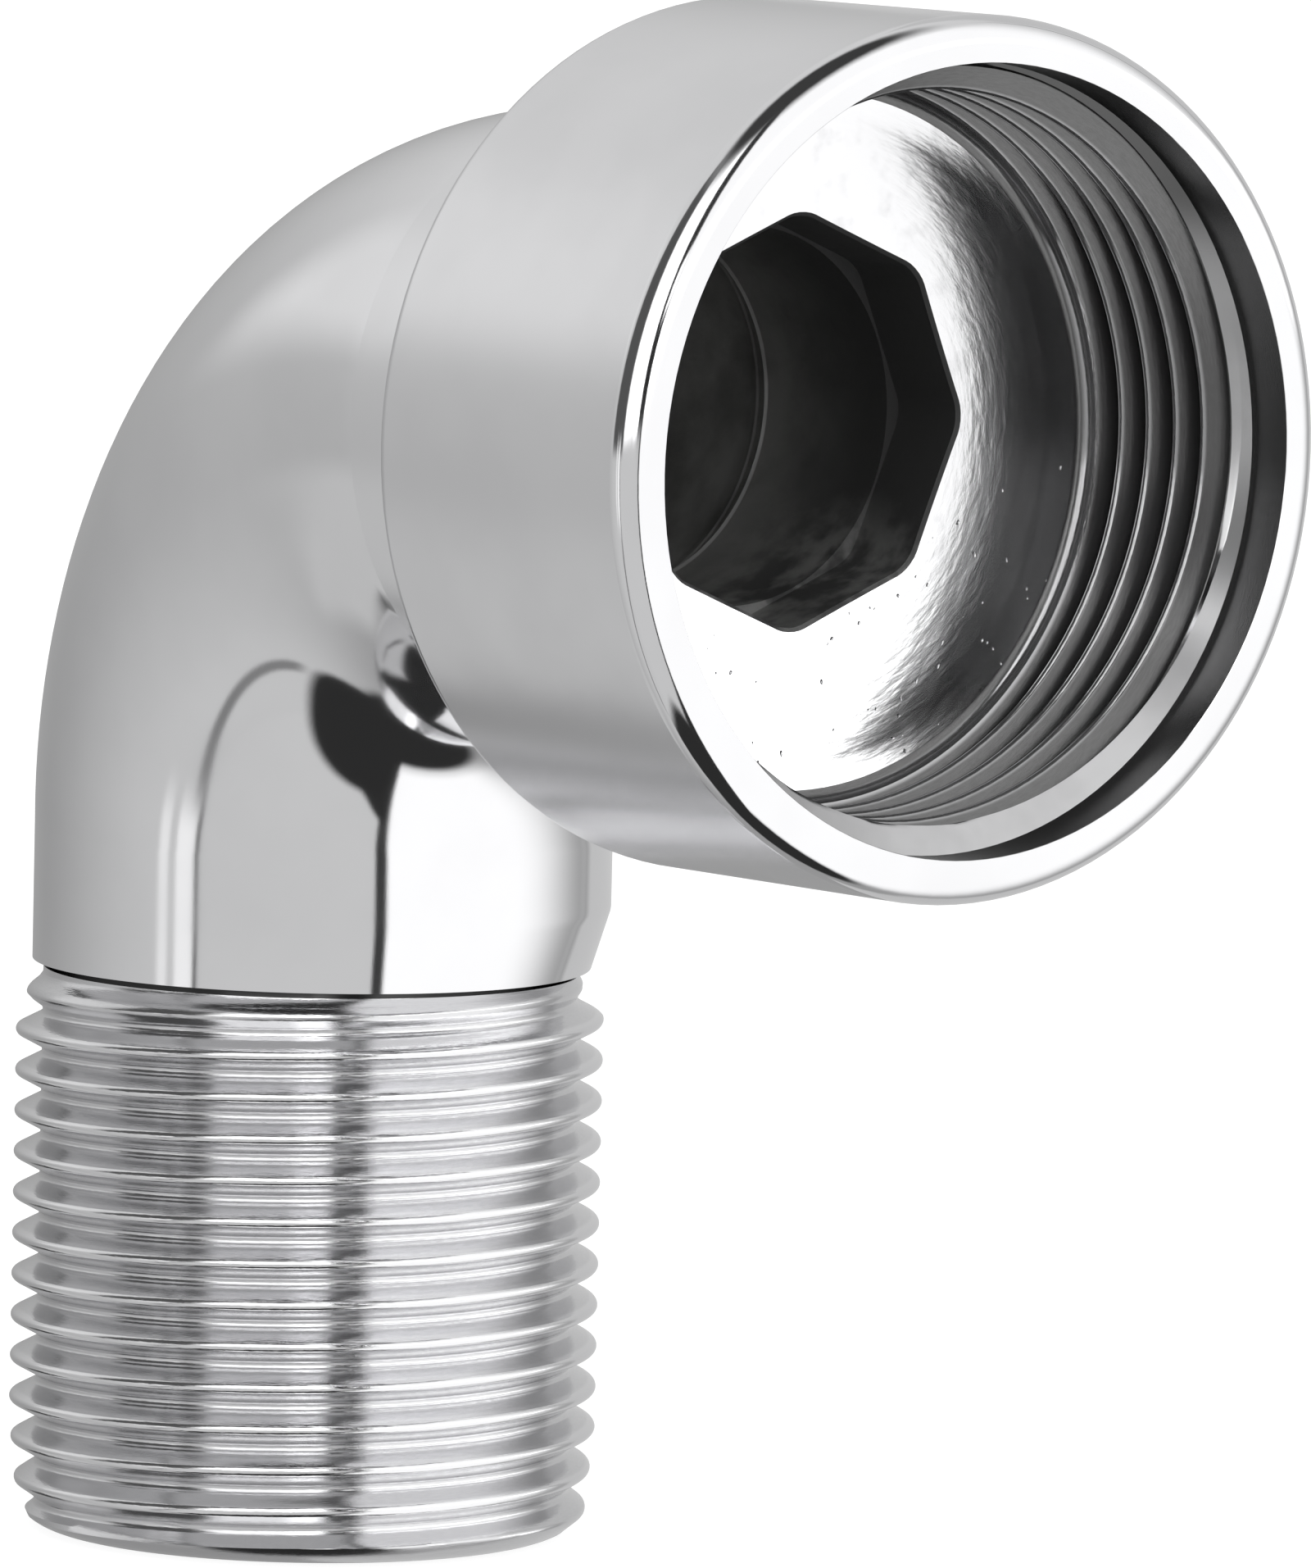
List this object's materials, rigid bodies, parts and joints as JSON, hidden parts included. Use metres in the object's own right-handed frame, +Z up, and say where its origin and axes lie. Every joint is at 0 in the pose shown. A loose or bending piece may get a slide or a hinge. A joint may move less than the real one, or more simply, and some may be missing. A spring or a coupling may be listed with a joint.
{
  "type": "wall outlet elbow",
  "caption": "Chromed brass pipe elbow: a male threaded leg turns through a right-angle bend into a wide female threaded socket with a dished floor and an eight-sided port.",
  "frame": {"origin": "centre of the threaded leg's open end", "axes": "+Z up along the threaded leg towards the bend, +X out along the socket's axis through its mouth"},
  "size_m": [0.075, 0.0472, 0.088],
  "materials": {
    "chrome_plate": "bright chrome plating on a polished brass casting"
  },
  "bodies": {
    "root": {"elbow_body": "chrome_plate"}
  },
  "joints": []
}
